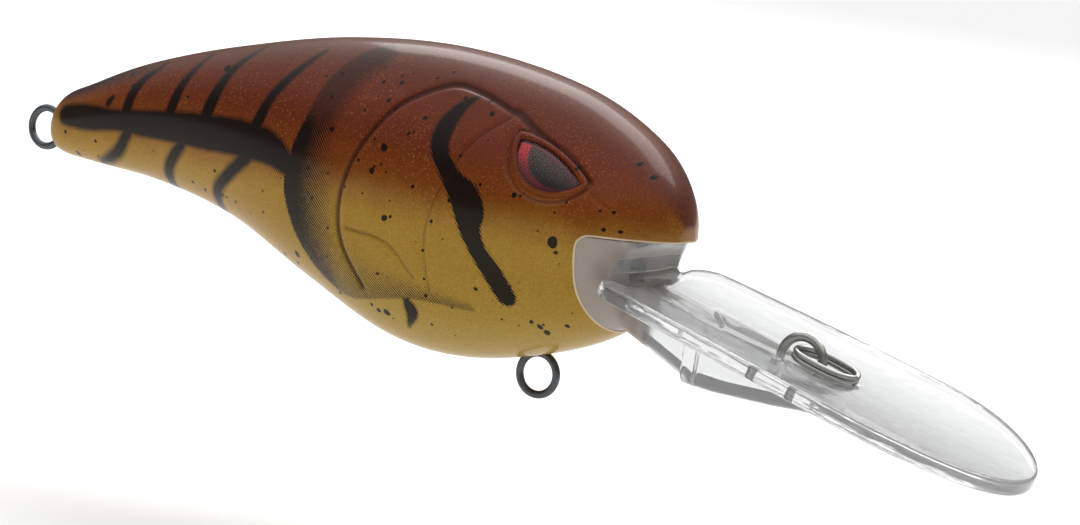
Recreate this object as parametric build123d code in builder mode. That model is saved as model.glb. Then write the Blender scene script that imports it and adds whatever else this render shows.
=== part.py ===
"""Deep-diving crankbait: a hollow two-half body with a clear diving bill, wire hardware and rattles.

Frame: origin at the centre of the belly hook eye, +X towards the nose and bill, +Y to the
lure's left, +Z up. The two body halves meet on the plane y = 0. Millimetres throughout.
"""
from build123d import *
import math
import os

os.makedirs("parts", exist_ok=True)

# ---------------------------------------------------------------- driving dimensions
BODY_LENGTH = 58.0        # nose to tail, without bill and eyes
BODY_DEPTH = 22.95        # deepest point of the belly to the highest point of the back
BODY_WIDTH = 17.5
NOSE_X = 10.8             # nose ahead of the belly hook eye
WALL = 1.25               # moulded wall of the halves

MOUTH_X = 5.6             # back of the mouth cut
LIP_Z = 11.8              # upper edge of the mouth
THROAT_DEPTH = 2.2        # throat block, from the mouth's back to the bill's root
TONGUE_WIDTH = 2.4        # tongue of the bill between the halves
TONGUE_HEIGHT = 5.0
TONGUE_REACH = 3.6

BILL_LENGTH = 32.1        # root to tip, along the slope
BILL_ROOT_WIDTH = 17.2
BILL_ROOT_CORNER = 2.2    # rounding of the bill's corners beside the throat
BILL_WIDTH = 19.8
BILL_TIP_LENGTH = 11.0    # the elliptical tip's share of the length
BILL_THICKNESS = 1.15
BILL_SLOPE = 14.6         # degrees below level
BILL_CUP_RADIUS = 55.0    # the bill is slightly dished across
KEEL_WIDTH = 2.4          # rib from the throat to the line tie's boss
BOSS_WIDTH = 4.4          # boss that the line tie is moulded into
BOSS_STEP = 7.0           # throat to the step where the boss begins

HANGER_WIRE = 0.6
HANGER_RADIUS = 1.56      # middle of the wire, outer eye
HANGER_LOOP = 1.2         # middle of the wire, inner loop
BELLY_SHANK = 4.6         # outer eye to inner loop, centre to centre
TAIL_SHANK = 4.2
TAIL_EYE_OUT = 1.2        # tail eye's centre behind the tail
POST_RADIUS = 0.8         # moulded posts that the inner loops sit on

TIE_WIRE = 0.7
TIE_RADIUS = 1.6          # middle of the wire at the top of the line tie
TIE_FROM_ROOT = 13.5      # bill root to the line tie, along the bill
TIE_LEG = 2.4             # leg below the bill's upper face
RING_WIRE = 0.42
RING_LENGTH = 5.2
RING_WIDTH = 4.0
RING_GAP = 0.1            # ring above the bill's face

EYE_LENGTH = 5.9          # corner to corner of the half-moon eye
EYE_RISE = 0.55           # upper arc above the line between the corners
EYE_DROP = 2.3            # lower arc below it
EYE_X = 2.4
EYE_Z = 16.55
EYE_TILT = 24.8           # degrees, front corner down
EYE_CORNER = 0.35
SOCKET_DEPTH = 0.8
FOIL_THICKNESS = 0.15
EYE_PROUD = 0.25          # dome's crown above the flank
EYE_CLEARANCE = 0.05

BALL_DIAMETER = 3.6
CELL_CLEARANCE = 0.6      # cell height and length, over the ball's diameter
DECK_Z = 10.0             # top of the rattle cells' floor
RIB = 0.9                 # inner walls
KNOCKER_LENGTH = 6.5
KNOCKER_TRAVEL = 6.0
CELLS_X = -15.2           # front of the first rattle cell
TAIL_BALL_DIAMETER = 2.8
TAIL_BALL_TRAVEL = 3.2
END_GAP = 0.15            # left at the end of every rattle's travel

SLUG_DIAMETER = 4.8
SLUG_LENGTH = 8.0
SLUG_SPACING = 6.0
SLUG_CLEARANCE = 0.05
FRONT_SLUG_X = -6.0

PIN_RADIUS = 0.7          # locating pins between the halves
PIN_BOSS = 1.5
PIN_ENGAGEMENT = 1.4
PIN_CLEARANCE = 0.05

# ---------------------------------------------------------------- lines of the body
# Each line is (share of the length behind the nose, share of the depth or of the half width).
BACK_LINE = [(0, 0.52), (0.024, 0.70), (0.078, 0.828), (0.186, 0.945), (0.359, 1.0), (0.531, 0.967),
             (0.703, 0.871), (0.841, 0.763), (0.936, 0.655), (0.979, 0.60), (0.995, 0.545), (1, 0.475)]
BELLY_LINE = [(0, 0.52), (0.024, 0.34), (0.078, 0.183), (0.186, 0.06), (0.3, 0.0), (0.4, 0.021),
              (0.53, 0.145), (0.665, 0.288), (0.80, 0.356), (0.92, 0.373), (0.979, 0.385), (0.995, 0.41),
              (1, 0.475)]
PLAN_LINE = [(0, 0), (0.024, 0.45), (0.078, 0.80), (0.186, 0.97), (0.3, 1.0), (0.42, 0.95), (0.53, 0.84),
             (0.665, 0.67), (0.80, 0.50), (0.92, 0.36), (0.979, 0.26), (0.995, 0.16), (1, 0)]

TAIL_X = NOSE_X - BODY_LENGTH
STATIONS = 26


def station_angle(share):
    """Angle that spaces the stations closely at both ends, so that the ends come out round."""
    return math.acos(1 - 2 * min(max(share, 0.0), 1.0))


def on_line(line, share):
    """Value of a line at a share of the length, by smooth cubic pieces between its points."""
    angle = station_angle(share)
    knots = [(station_angle(s), value) for s, value in line]
    last = len(knots) - 1
    piece = next(i for i in range(last) if angle <= knots[i + 1][0] or i == last - 1)

    def slope(i):
        before, after = knots[max(i - 1, 0)], knots[min(i + 1, last)]
        return (after[1] - before[1]) / (after[0] - before[0])

    (a0, v0), (a1, v1) = knots[piece], knots[piece + 1]
    step = a1 - a0
    t = (angle - a0) / step
    return (v0 * (1 + 2 * t) * (1 - t) ** 2 + slope(piece) * step * t * (1 - t) ** 2
            + v1 * t * t * (3 - 2 * t) - slope(piece + 1) * step * t * t * (1 - t))


def section_at(x):
    """Middle height, half height and half width of the body at x."""
    share = (NOSE_X - x) / BODY_LENGTH
    top = BODY_DEPTH * on_line(BACK_LINE, share)
    bottom = BODY_DEPTH * on_line(BELLY_LINE, share)
    return (top + bottom) / 2, (top - bottom) / 2, BODY_WIDTH / 2 * on_line(PLAN_LINE, share)


def flank_y(x, z):
    """Half width of the body at a point of its side view."""
    middle, half_height, half_width = section_at(x)
    return half_width * math.sqrt(1 - ((z - middle) / half_height) ** 2)


def loft_body(first_x, last_x, inset, count):
    """Solid between two stations, lofted through ellipses and kept `inset` inside the lines."""
    first = station_angle((NOSE_X - first_x) / BODY_LENGTH)
    last = station_angle((NOSE_X - last_x) / BODY_LENGTH)
    with BuildPart() as lofted:
        for i in range(count):
            angle = first + (last - first) * i / (count - 1)
            x = NOSE_X - BODY_LENGTH * (1 - math.cos(angle)) / 2
            middle, half_height, half_width = section_at(x)
            with BuildSketch(Plane(origin=(x, 0, middle), x_dir=(0, 1, 0), z_dir=(1, 0, 0))):
                Ellipse(half_width - inset, half_height - inset)
        loft()
    return lofted.part


def side_solid(outline, half_width):
    """Solid from a closed side-view outline, the same distance to both sides."""
    with BuildPart() as sides:
        with BuildSketch(Plane.XZ):
            add(outline)
        extrude(amount=half_width, both=True)
    return sides.part


def side_plate(x_low, x_high, z_low, z_high, width=BODY_WIDTH + 4):
    """Box between two stations and two heights."""
    with BuildPart() as box:
        with Locations(((x_low + x_high) / 2, 0, (z_low + z_high) / 2)):
            Box(x_high - x_low, width, z_high - z_low)
    return box.part


# ---------------------------------------------------------------- outer body, mouth and cavity
END_SHARE = 0.002
outer_body = loft_body(NOSE_X - END_SHARE * BODY_LENGTH, TAIL_X + END_SHARE * BODY_LENGTH, 0, STATIONS)

with BuildSketch() as mouth_outline:
    with BuildLine():
        far = NOSE_X + 4
        Line((far, LIP_Z), (MOUTH_X, LIP_Z))
        Line((MOUTH_X, LIP_Z), (MOUTH_X, LIP_Z - 2.8))
        ThreePointArc((MOUTH_X, LIP_Z - 2.8), (MOUTH_X + 0.35, LIP_Z - 5.4), (MOUTH_X + 1.7, LIP_Z - 8.4))
        Line((MOUTH_X + 1.7, LIP_Z - 8.4), (MOUTH_X + 1.7, -3))
        Line((MOUTH_X + 1.7, -3), (far, -3))
        Line((far, -3), (far, LIP_Z))
    make_face()
    fillet(mouth_outline.vertices().group_by(Axis.X)[0].sort_by(Axis.Y)[-1], 0.9)
mouth = side_solid(mouth_outline.sketch, BODY_WIDTH)

with BuildSketch() as mouth_wall_outline:
    add(mouth_outline.sketch)
    offset(amount=WALL)
mouth_wall = side_solid(mouth_wall_outline.sketch, BODY_WIDTH)

cell = BALL_DIAMETER + CELL_CLEARANCE
cell_pitch = cell + RIB
cells_end = CELLS_X - 3 * cell_pitch
cavity_end = cells_end - RIB
cavity = loft_body(NOSE_X - 0.045 * BODY_LENGTH, cavity_end, WALL, 16)

# ---------------------------------------------------------------- wire hardware


def hanger(eye, loop, wire):
    """Hook hanger: an outer eye and an inner loop of wire, joined by a straight shank."""
    (eye_x, eye_z), (loop_x, loop_z) = eye, loop
    reach = math.hypot(loop_x - eye_x, loop_z - eye_z)
    along = ((loop_x - eye_x) / reach, 0, (loop_z - eye_z) / reach)
    start = Vector(eye_x, 0, eye_z) + Vector(*along) * HANGER_RADIUS
    with BuildPart() as made:
        with Locations((eye_x, 0, eye_z)):
            Torus(HANGER_RADIUS, wire / 2, rotation=(90, 0, 0))
        with Locations((loop_x, 0, loop_z)):
            Torus(HANGER_LOOP, wire / 2, rotation=(90, 0, 0))
        with BuildSketch(Plane(origin=start, z_dir=along)):
            Circle(wire * 0.68)
        extrude(amount=reach - HANGER_RADIUS - HANGER_LOOP)
    return made.part


belly_loop = (0.0, BELLY_SHANK)
tail_eye = (TAIL_X - TAIL_EYE_OUT, section_at(TAIL_X + 1)[0] - 0.7)
tail_loop = (tail_eye[0] + TAIL_SHANK, tail_eye[1] + 0.3)
with BuildPart() as belly_hook_hanger:
    add(hanger((0.0, 0.0), belly_loop, HANGER_WIRE))
with BuildPart() as tail_hook_hanger:
    add(hanger(tail_eye, tail_loop, HANGER_WIRE))

# ---------------------------------------------------------------- bill
slope = math.radians(BILL_SLOPE)
along_bill = Vector(math.cos(slope), 0, -math.sin(slope))
above_bill = Vector(math.sin(slope), 0, math.cos(slope))
root = Vector(MOUTH_X + THROAT_DEPTH, 0, LIP_Z - 3.1)      # upper face of the bill at its root
bill_plane = Plane(origin=root, x_dir=along_bill, z_dir=above_bill)


def on_bill(distance, height=0.0):
    """Point of the plane of symmetry, by distance along the bill and height above its face."""
    return root + along_bill * distance + above_bill * height


def in_side_view(point):
    return (point.X, point.Z)


with BuildPart() as plate:
    with BuildSketch(Plane(origin=root, x_dir=(0, 1, 0), z_dir=along_bill)):
        with BuildLine():
            reach = BILL_WIDTH / 2 + 1.5
            rise = BILL_CUP_RADIUS - math.sqrt(BILL_CUP_RADIUS ** 2 - reach ** 2)
            ThreePointArc((-reach, rise), (0, 0), (reach, rise))
            Line((reach, rise), (reach, rise - BILL_THICKNESS))
            ThreePointArc((reach, rise - BILL_THICKNESS), (0, -BILL_THICKNESS), (-reach, rise - BILL_THICKNESS))
            Line((-reach, rise - BILL_THICKNESS), (-reach, rise))
        make_face()
    extrude(amount=BILL_LENGTH + 2)
    with BuildSketch(bill_plane.offset(-6)) as plan:
        with BuildLine():
            wide = BILL_LENGTH - BILL_TIP_LENGTH
            half_root, half_wide = BILL_ROOT_WIDTH / 2, BILL_WIDTH / 2
            swell = half_root + 0.72 * (half_wide - half_root)
            Line((0, -half_root), (0, half_root))
            ThreePointArc((0, half_root), (wide / 2, swell), (wide, half_wide))
            EllipticalCenterArc((wide, 0), BILL_TIP_LENGTH, half_wide, start_angle=-90, arc_size=180)
            ThreePointArc((wide, -half_wide), (wide / 2, -swell), (0, -half_root))
        make_face()
        root_corners = [v for v in plan.vertices() if abs((Vector(v.X, v.Y, v.Z) - root).dot(along_bill)) < 0.01]
        fillet(root_corners, BILL_ROOT_CORNER)
    extrude(amount=12, mode=Mode.INTERSECT)

with BuildSketch() as throat_outline:
    with BuildLine():
        top = (root.X + 1.3, LIP_Z)
        face = (root.X + 0.1, root.Z + 0.6)
        under = (root.X + 0.1, root.Z - BILL_THICKNESS - 0.8)
        chin = (MOUTH_X + 1.2, LIP_Z - 8.4)
        Line((MOUTH_X - 2, LIP_Z + 1), (top[0], LIP_Z + 1))
        Line((top[0], LIP_Z + 1), top)
        ThreePointArc(top, (face[0] + 0.25, (top[1] + face[1]) / 2 + 0.3), face)
        Line(face, under)
        ThreePointArc(under, (under[0] - 0.35, (under[1] + chin[1]) / 2 + 0.3), chin)
        Line(chin, (MOUTH_X - 2, chin[1]))
        Line((MOUTH_X - 2, chin[1]), (MOUTH_X - 2, LIP_Z + 1))
    make_face()

tie_x = on_bill(TIE_FROM_ROOT).X
boss_bottom = on_bill(TIE_FROM_ROOT, -BILL_THICKNESS - TIE_LEG).Z
keel_end = on_bill(TIE_FROM_ROOT + 4.2, -BILL_THICKNESS / 2)
step_x = root.X + BOSS_STEP - 2.2
chin_z = LIP_Z - 7.4


def under_bill(x):
    """Height of the middle of the bill's thickness, below x."""
    return root.Z - (x - root.X) * math.tan(slope) - BILL_THICKNESS / 2


with BuildSketch() as rib_outline:
    with BuildLine():
        Polyline((root.X - 1, under_bill(root.X - 1)), (root.X - 1, chin_z + 1), (root.X - 0.5, chin_z + 0.1),
                 (step_x, boss_bottom + 0.2), (step_x + 1, boss_bottom + 0.2), (step_x + 1, under_bill(step_x + 1)),
                 close=True)
    make_face()
with BuildSketch() as boss_outline:
    with BuildLine():
        Polyline((step_x, under_bill(step_x)), (step_x, boss_bottom + 0.2), (step_x + 2.5, boss_bottom),
                 (tie_x - 1, boss_bottom), (tie_x + 2, boss_bottom + 0.15), in_side_view(keel_end), close=True)
    make_face()

with BuildSketch() as tongue_outline:
    with Locations((MOUTH_X - TONGUE_REACH / 2 + 0.5, LIP_Z - 3.3)):
        Rectangle(TONGUE_REACH + 1, TONGUE_HEIGHT)
tongue = side_solid(tongue_outline.sketch, TONGUE_WIDTH / 2)
tongue_post = (MOUTH_X - TONGUE_REACH / 2 - 0.3, LIP_Z - 3.3)

with BuildPart() as line_tie_staple:
    with BuildLine() as tie_path:
        left = on_bill(TIE_FROM_ROOT - TIE_RADIUS, -TIE_LEG + 0.2)
        right = on_bill(TIE_FROM_ROOT + TIE_RADIUS, -TIE_LEG + 0.2)
        Line(left, on_bill(TIE_FROM_ROOT - TIE_RADIUS, 0.1))
        ThreePointArc(on_bill(TIE_FROM_ROOT - TIE_RADIUS, 0.1), on_bill(TIE_FROM_ROOT, TIE_RADIUS + 0.1),
                      on_bill(TIE_FROM_ROOT + TIE_RADIUS, 0.1))
        Line(on_bill(TIE_FROM_ROOT + TIE_RADIUS, 0.1), right)
    with BuildSketch(Plane(origin=left, z_dir=above_bill)):
        Circle(TIE_WIRE / 2)
    sweep()

with BuildPart() as diving_bill:
    add(outer_body)
    add(mouth, mode=Mode.INTERSECT)
    add(side_solid(throat_outline.sketch, BODY_WIDTH), mode=Mode.INTERSECT)
    add(plate.part)
    add(side_solid(rib_outline.sketch, KEEL_WIDTH / 2))
    add(side_solid(boss_outline.sketch, BOSS_WIDTH / 2))
    add(tongue)
    with BuildSketch(Plane.XZ):
        with Locations(tongue_post):
            Circle(POST_RADIUS + SLUG_CLEARANCE)
    extrude(amount=TONGUE_WIDTH, both=True, mode=Mode.SUBTRACT)
    add(line_tie_staple.part, mode=Mode.SUBTRACT)

# ---------------------------------------------------------------- split ring on the line tie
ring_height = RING_WIRE + RING_GAP
ring_middle = TIE_FROM_ROOT - TIE_RADIUS / 3 + RING_LENGTH / 2 - RING_WIRE / 2
with BuildPart() as line_tie_split_ring:
    for level in (-0.47, 0.47):
        centre = on_bill(ring_middle, ring_height + level * RING_WIRE)
        ring_plane = Plane(origin=centre, x_dir=along_bill, z_dir=above_bill)
        half_length, half_width = (RING_LENGTH - RING_WIRE) / 2, (RING_WIDTH - RING_WIRE) / 2
        straight = half_length - half_width
        with BuildLine(ring_plane) as coil:
            Line((-straight, half_width), (straight, half_width))
            ThreePointArc((straight, half_width), (half_length, 0), (straight, -half_width))
            Line((straight, -half_width), (-straight, -half_width))
            ThreePointArc((-straight, -half_width), (-half_length, 0), (-straight, half_width))
        with BuildSketch(Plane(origin=coil.line @ 0, z_dir=coil.line % 0)):
            Circle(RING_WIRE / 2)
        sweep(path=coil.line)
ring_pivot = on_bill(ring_middle - (RING_LENGTH - RING_WIRE) / 2, ring_height)

# ---------------------------------------------------------------- eyes
nudge = 0.05
eye_y = flank_y(EYE_X, EYE_Z)
lean_x = (flank_y(EYE_X + nudge, EYE_Z) - eye_y) / nudge
lean_z = (flank_y(EYE_X, EYE_Z + nudge) - eye_y) / nudge
eye_normal = Vector(-lean_x, 1, -lean_z).normalized()
tilt = math.radians(EYE_TILT)
eye_forward = Vector(math.cos(tilt), lean_x * math.cos(tilt) - lean_z * math.sin(tilt), -math.sin(tilt))


def eye_solid(bottom, top, clearance):
    """Half-moon prism on the left flank between two depths, measured outwards from the flank."""
    plane = Plane(origin=Vector(EYE_X, eye_y, EYE_Z) + eye_normal * bottom, x_dir=eye_forward, z_dir=eye_normal)
    back, front = (-EYE_LENGTH / 2, 0), (EYE_LENGTH / 2, 0)
    with BuildPart() as prism:
        with BuildSketch(plane) as moon:
            with BuildLine():
                ThreePointArc(front, (0, -EYE_RISE), back)
                ThreePointArc(back, (0, EYE_DROP), front)
            make_face()
            fillet(moon.vertices(), EYE_CORNER)
            offset(amount=clearance)
        extrude(amount=top - bottom)
    return prism.part


with BuildPart() as eye_socket:
    add(eye_solid(-SOCKET_DEPTH, 3, EYE_CLEARANCE))
with BuildPart() as eye_foil_left:
    add(eye_solid(-SOCKET_DEPTH, -SOCKET_DEPTH + FOIL_THICKNESS, 0))
crown_radius = 9.0
crown_centre = Vector(EYE_X, eye_y, EYE_Z) + eye_normal * (EYE_PROUD - crown_radius)
with BuildPart() as eye_dome_left:
    add(eye_solid(-SOCKET_DEPTH + FOIL_THICKNESS, EYE_PROUD + 1, 0))
    with Locations(crown_centre):
        Sphere(crown_radius, mode=Mode.INTERSECT)

# ---------------------------------------------------------------- rattles, knocker and ballast
ball_z = DECK_Z + cell / 2


def ball(diameter, centre):
    with BuildPart() as made:
        with Locations(centre):
            Sphere(diameter / 2)
    return made.part


rattles = []
for i, name in enumerate(("front", "middle", "rear")):
    x = CELLS_X - cell / 2 - i * cell_pitch
    rattle = ball(BALL_DIAMETER, (x, 0, ball_z))
    rattle.label = f"rattle_ball_{name}"
    lowest, highest = DECK_Z, DECK_Z + cell
    corner = min(flank_y(px, pz) for px in (x - cell / 2, x + cell / 2) for pz in (lowest, highest))
    rattles.append((rattle, x, corner - WALL))

knocker_back = CELLS_X + RIB
knocker_room = KNOCKER_LENGTH + KNOCKER_TRAVEL + 2 * END_GAP
with BuildPart() as knocker_weight:
    middle = knocker_back + knocker_room / 2
    with BuildSketch(Plane(origin=(middle - KNOCKER_LENGTH / 2, 0, ball_z), z_dir=(1, 0, 0))):
        Circle(BALL_DIAMETER / 2)
    extrude(amount=KNOCKER_LENGTH)
    fillet(knocker_weight.edges().filter_by(GeomType.CIRCLE), 0.8)

tail_bore = TAIL_BALL_DIAMETER / 2 + 0.2
tail_channel_front = cavity_end - RIB
tail_channel_back = tail_channel_front - TAIL_BALL_DIAMETER - TAIL_BALL_TRAVEL - 2 * END_GAP
tail_middle = (tail_channel_front + tail_channel_back) / 2
tail_ball_z = section_at(tail_middle)[0]
tail_rattle = ball(TAIL_BALL_DIAMETER, (tail_middle, 0, tail_ball_z))
tail_rattle.label = "tail_rattle_ball"

slug_z = DECK_Z - RIB - SLUG_DIAMETER / 2 - 0.4
slugs = []
for name, x in (("front", FRONT_SLUG_X), ("rear", FRONT_SLUG_X - SLUG_SPACING)):
    with BuildPart() as slug:
        with BuildSketch(Plane(origin=(x, -SLUG_LENGTH / 2, slug_z), z_dir=(0, 1, 0))):
            Circle(SLUG_DIAMETER / 2)
        extrude(amount=SLUG_LENGTH)
        chamfer(slug.edges().filter_by(GeomType.CIRCLE), 0.4)
    slug.part.label = f"ballast_slug_{name}"
    slugs.append(slug.part)

# ---------------------------------------------------------------- body halves
deck_top = DECK_Z + cell
channel_half = (BALL_DIAMETER + CELL_CLEARANCE) / 2
knocker_front = knocker_back + knocker_room
with BuildPart() as inner_walls:
    add(side_plate(cavity_end, knocker_front + RIB, DECK_Z - RIB, DECK_Z))
    add(side_plate(cavity_end, knocker_front + RIB, deck_top, deck_top + RIB))
    for x in [CELLS_X - i * cell_pitch for i in range(4)] + [knocker_front]:
        add(side_plate(x, x + RIB, DECK_Z - RIB, deck_top + RIB))
    for side in (-1, 1):
        with Locations(((knocker_back + knocker_front) / 2, side * (channel_half + RIB / 2), ball_z)):
            Box(knocker_room + RIB, RIB, cell)
    add(side_plate(FRONT_SLUG_X - SLUG_SPACING - SLUG_DIAMETER / 2 - RIB, FRONT_SLUG_X + SLUG_DIAMETER / 2 + RIB,
                   -1, DECK_Z - RIB / 2))
    add(side_plate(-HANGER_LOOP - 1.4, HANGER_LOOP + 1.4, -1, BELLY_SHANK + HANGER_LOOP + 1.4))
    with BuildSketch(Plane.XZ):
        with Locations(tongue_post):
            Circle(POST_RADIUS + RIB)
    extrude(amount=BODY_WIDTH, both=True)

pins = [(NOSE_X - 0.16 * BODY_LENGTH, 0.86 * BODY_DEPTH), (NOSE_X - 0.46 * BODY_LENGTH, 0.86 * BODY_DEPTH)]


def posts(radius, first_y, last_y):
    """Round posts across the body at the locating pins."""
    with BuildPart() as made:
        with BuildSketch(Plane(origin=(0, first_y, 0), x_dir=(1, 0, 0), z_dir=(0, -1, 0))):
            with Locations(*pins):
                Circle(radius)
        extrude(amount=first_y - last_y)
    return made.part


with BuildPart() as whole_shell:
    add(outer_body)
    add(cavity, mode=Mode.SUBTRACT)
    add(mouth_wall & outer_body)
    add(inner_walls.part & outer_body)
    add(posts(PIN_BOSS, BODY_WIDTH, -BODY_WIDTH) & outer_body)
    add(mouth, mode=Mode.SUBTRACT)
    for rattle, x, reach in rattles:
        with Locations((x, 0, ball_z)):
            Box(cell, 2 * reach, cell, mode=Mode.SUBTRACT)
    with Locations(((knocker_back + knocker_front) / 2, 0, ball_z)):
        Box(knocker_room, 2 * channel_half, cell, mode=Mode.SUBTRACT)
    with BuildSketch(Plane(origin=(tail_channel_back, 0, tail_ball_z), z_dir=(1, 0, 0))):
        Circle(tail_bore)
    extrude(amount=tail_channel_front - tail_channel_back, mode=Mode.SUBTRACT)
    for slug in slugs:
        centre = slug.center()
        with BuildSketch(Plane(origin=(centre.X, -SLUG_LENGTH / 2 - SLUG_CLEARANCE, centre.Z), z_dir=(0, 1, 0))):
            Circle(SLUG_DIAMETER / 2 + SLUG_CLEARANCE)
        extrude(amount=SLUG_LENGTH + 2 * SLUG_CLEARANCE, mode=Mode.SUBTRACT)
    add(belly_hook_hanger.part, mode=Mode.SUBTRACT)
    add(tail_hook_hanger.part, mode=Mode.SUBTRACT)
    add(tongue, mode=Mode.SUBTRACT)
    with BuildSketch(Plane.XZ):
        with Locations(tongue_post):
            Circle(POST_RADIUS)
    extrude(amount=TONGUE_WIDTH, both=True)
    add(eye_socket.part, mode=Mode.SUBTRACT)
    add(mirror(eye_socket.part, about=Plane.XZ, mode=Mode.PRIVATE), mode=Mode.SUBTRACT)

with BuildPart() as shell_left:
    add(whole_shell.part)
    split(bisect_by=Plane(origin=(0, 0, 0), z_dir=(0, 1, 0)), keep=Keep.TOP)
    add(posts(PIN_RADIUS, PIN_BOSS, -PIN_ENGAGEMENT))
with BuildPart() as shell_right:
    add(whole_shell.part)
    split(bisect_by=Plane(origin=(0, 0, 0), z_dir=(0, 1, 0)), keep=Keep.BOTTOM)
    add(posts(PIN_RADIUS + PIN_CLEARANCE, PIN_BOSS, -PIN_ENGAGEMENT - PIN_CLEARANCE), mode=Mode.SUBTRACT)

# ---------------------------------------------------------------- write every piece
pieces = {
    "shell_left": shell_left.part,
    "shell_right": shell_right.part,
    "diving_bill": diving_bill.part,
    "line_tie_staple": line_tie_staple.part,
    "line_tie_split_ring": line_tie_split_ring.part,
    "belly_hook_hanger": belly_hook_hanger.part,
    "tail_hook_hanger": tail_hook_hanger.part,
    "eye_foil_left": eye_foil_left.part,
    "eye_foil_right": mirror(eye_foil_left.part, about=Plane.XZ),
    "eye_dome_left": eye_dome_left.part,
    "eye_dome_right": mirror(eye_dome_left.part, about=Plane.XZ),
    "knocker_weight": knocker_weight.part,
    "tail_rattle_ball": tail_rattle,
}
for made in [rattle for rattle, x, reach in rattles] + slugs:
    pieces[made.label] = made
for name, piece in pieces.items():
    piece.label = name
    export_step(piece, f"parts/{name}.step")

print("rattle travel:", [round(reach - BALL_DIAMETER / 2 - END_GAP, 2) for rattle, x, reach in rattles])
print("knocker travel: +-", KNOCKER_TRAVEL / 2, " tail ball travel: +-", TAIL_BALL_TRAVEL / 2)
print("ring pivot:", ring_pivot)
print("tail eye:", tail_eye, " line tie top:", on_bill(TIE_FROM_ROOT, TIE_RADIUS + 0.1))
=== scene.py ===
"""Looks of a deep-diving crankbait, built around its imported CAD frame.

The painted halves, the bill, the eyes and the split ring are rebuilt as fine meshes in the
space of their CAD nodes; the wire hangers and everything inside keep their CAD shape.
"""
import math

import bmesh
import bpy
import numpy as np
from mathutils import Matrix, Vector


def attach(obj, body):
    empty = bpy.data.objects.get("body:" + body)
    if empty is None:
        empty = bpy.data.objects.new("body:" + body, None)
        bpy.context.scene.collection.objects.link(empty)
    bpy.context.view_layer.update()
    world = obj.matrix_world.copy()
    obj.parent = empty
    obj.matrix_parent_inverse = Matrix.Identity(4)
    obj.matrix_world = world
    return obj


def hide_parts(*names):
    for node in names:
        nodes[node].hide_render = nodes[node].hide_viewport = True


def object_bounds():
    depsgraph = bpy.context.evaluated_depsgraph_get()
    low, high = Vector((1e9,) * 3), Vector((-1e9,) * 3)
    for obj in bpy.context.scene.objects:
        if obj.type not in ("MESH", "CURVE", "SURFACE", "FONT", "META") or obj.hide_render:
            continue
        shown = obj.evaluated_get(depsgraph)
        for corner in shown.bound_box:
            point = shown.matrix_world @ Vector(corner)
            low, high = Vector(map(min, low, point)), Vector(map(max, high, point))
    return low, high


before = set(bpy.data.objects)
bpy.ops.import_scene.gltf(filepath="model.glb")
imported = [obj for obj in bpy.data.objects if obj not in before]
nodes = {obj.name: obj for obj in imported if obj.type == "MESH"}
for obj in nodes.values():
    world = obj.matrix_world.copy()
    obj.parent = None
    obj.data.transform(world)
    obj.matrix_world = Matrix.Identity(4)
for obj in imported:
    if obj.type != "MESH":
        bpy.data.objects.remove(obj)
cad_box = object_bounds()
MM = 0.001

# ---------------------------------------------------------------- sizes shared with the CAD model, mm
BODY_LENGTH, BODY_DEPTH, BODY_WIDTH, NOSE_X = 58.0, 22.95, 17.5, 10.8
BACK_LINE = [(0, 0.52), (0.024, 0.70), (0.078, 0.828), (0.186, 0.945), (0.359, 1.0), (0.531, 0.967),
             (0.703, 0.871), (0.841, 0.763), (0.936, 0.655), (0.979, 0.60), (0.995, 0.545), (1, 0.475)]
BELLY_LINE = [(0, 0.52), (0.024, 0.34), (0.078, 0.183), (0.186, 0.06), (0.3, 0.0), (0.4, 0.021),
              (0.53, 0.145), (0.665, 0.288), (0.80, 0.356), (0.92, 0.373), (0.979, 0.385), (0.995, 0.41),
              (1, 0.475)]
PLAN_LINE = [(0, 0), (0.024, 0.45), (0.078, 0.80), (0.186, 0.97), (0.3, 1.0), (0.42, 0.95), (0.53, 0.84),
             (0.665, 0.67), (0.80, 0.50), (0.92, 0.36), (0.979, 0.26), (0.995, 0.16), (1, 0)]
LIP_Z = 11.8
EYE_LENGTH, EYE_RISE, EYE_DROP, EYE_X, EYE_Z, EYE_TILT = 5.9, 0.55, 2.3, 2.4, 16.55, math.radians(24.8)
EYE_CROWN, EYE_PROUD = 9.0, 0.25
BILL_ROOT, BILL_SLOPE = (7.8, 8.7), math.radians(14.6)
BILL_LENGTH, BILL_TIP, BILL_THICKNESS, BILL_CUP = 32.1, 11.0, 1.15, 55.0


def on_line(line, share):
    """The CAD model's smooth line through its points, for an array of shares of the length."""
    angle = np.arccos(1 - 2 * np.clip(share, 0, 1))
    knots = np.arccos(1 - 2 * np.array([p[0] for p in line], float))
    values = np.array([p[1] for p in line], float)
    before = np.maximum(np.arange(len(knots)) - 1, 0)
    after = np.minimum(np.arange(len(knots)) + 1, len(knots) - 1)
    slopes = (values[after] - values[before]) / (knots[after] - knots[before])
    i = np.clip(np.searchsorted(knots, angle, side="left") - 1, 0, len(knots) - 2)
    step = knots[i + 1] - knots[i]
    t = (angle - knots[i]) / step
    return (values[i] * (1 + 2 * t) * (1 - t) ** 2 + slopes[i] * step * t * (1 - t) ** 2
            + values[i + 1] * t * t * (3 - 2 * t) - slopes[i + 1] * step * t * t * (1 - t))


def section_at(x):
    """Middle height, half height and half width of the body at stations x."""
    share = (NOSE_X - np.asarray(x, float)) / BODY_LENGTH
    top, bottom = BODY_DEPTH * on_line(BACK_LINE, share), BODY_DEPTH * on_line(BELLY_LINE, share)
    return (top + bottom) / 2, (top - bottom) / 2, BODY_WIDTH / 2 * on_line(PLAN_LINE, share)


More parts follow.
